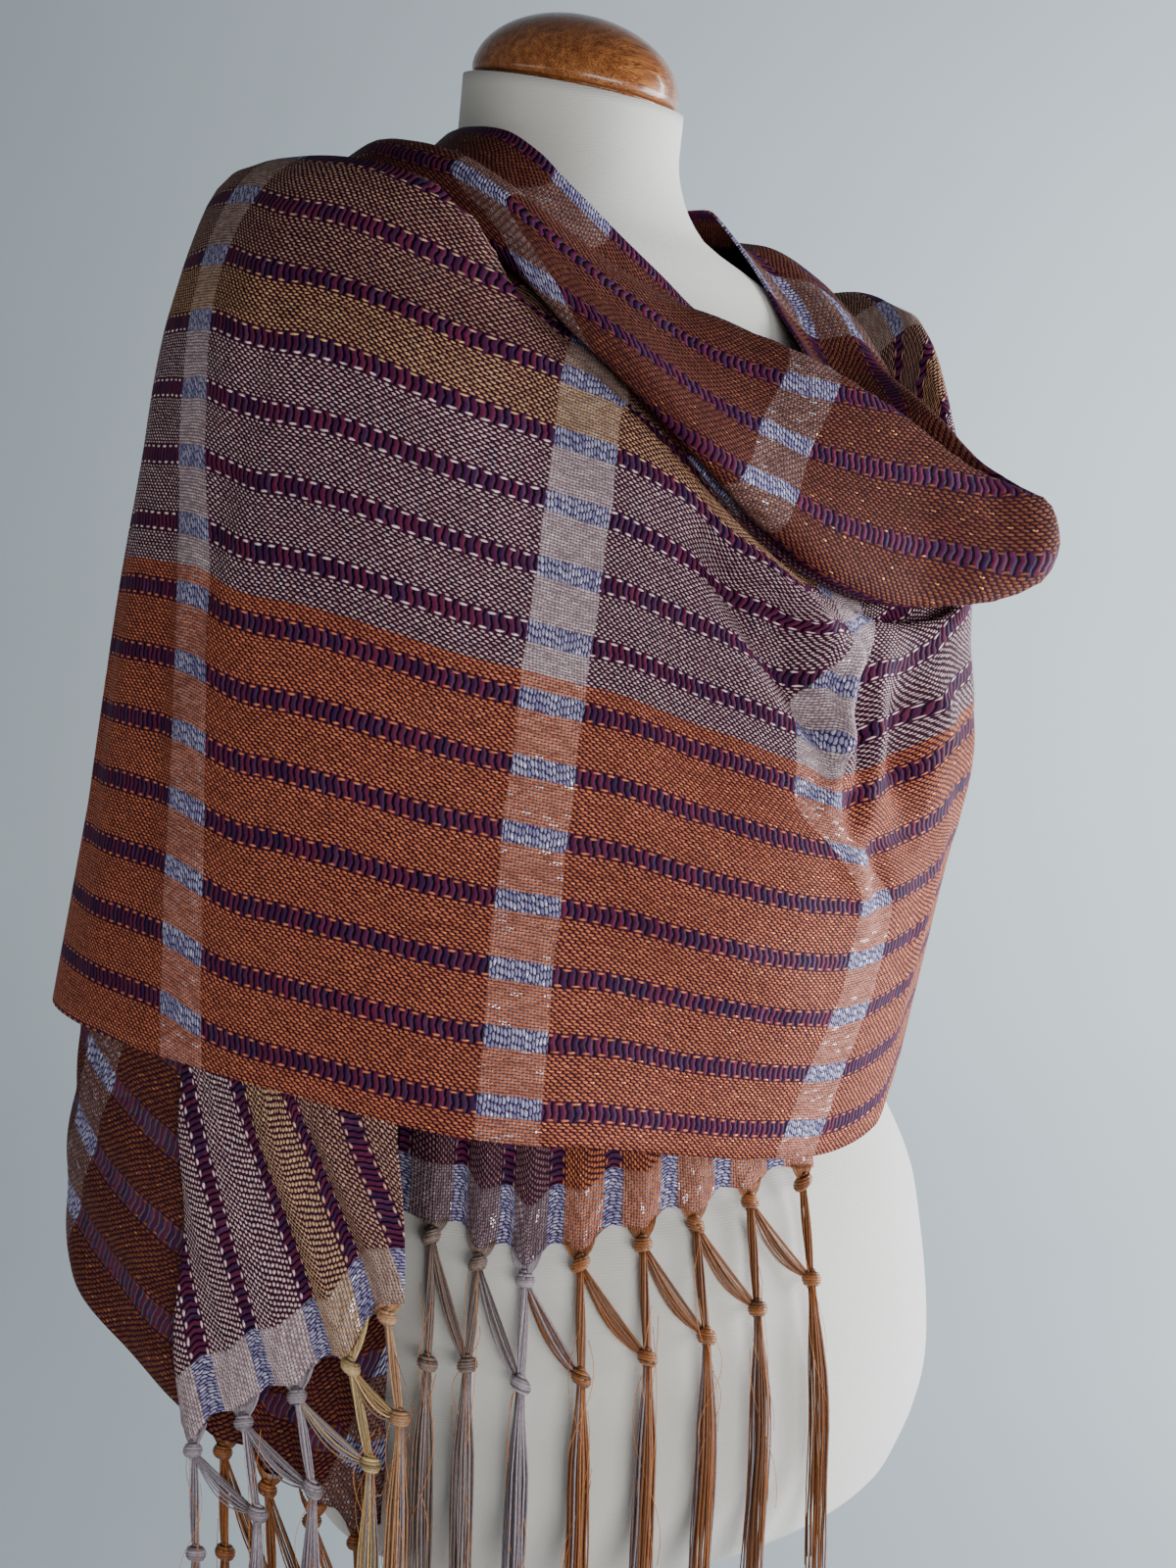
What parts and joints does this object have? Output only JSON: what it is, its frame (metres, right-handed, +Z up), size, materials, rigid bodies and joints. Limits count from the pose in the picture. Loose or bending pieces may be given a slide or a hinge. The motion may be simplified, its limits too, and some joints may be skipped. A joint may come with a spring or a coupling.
{
  "type": "shawl on dress form",
  "caption": "striped hand-woven wrap with knotted fringes, folded round the shoulders of a limbless dress form on a round wooden stand",
  "frame": {"origin": "middle of the stand's underside, on the floor", "axes": "+Z up; the dress form faces -Y; its left shoulder is towards +X and its right towards -X"},
  "size_m": [0.4642, 0.4076, 1.0396],
  "materials": {
    "woven_cloth": "coarse plain weave in copper, lilac and gold stripes with plum gaps",
    "fringe_yarn": "smooth twisted yarn",
    "jersey_cover": "matt off-white jersey stretched smooth",
    "turned_wood": "glossy varnish"
  },
  "bodies": {
    "root": {"wrap_front": "woven_cloth", "wrap_back": "woven_cloth", "collar_front": "woven_cloth", "collar_back": "woven_cloth", "front_end": "woven_cloth", "side_flap": "woven_cloth", "side_drop": "woven_cloth", "front_fringe": "fringe_yarn", "flap_fringe": "fringe_yarn", "drop_fringe": "fringe_yarn", "form_body": "jersey_cover", "neck_cap": "turned_wood", "stand_pole": "turned_wood", "stand_base": "turned_wood"}
  },
  "joints": []
}
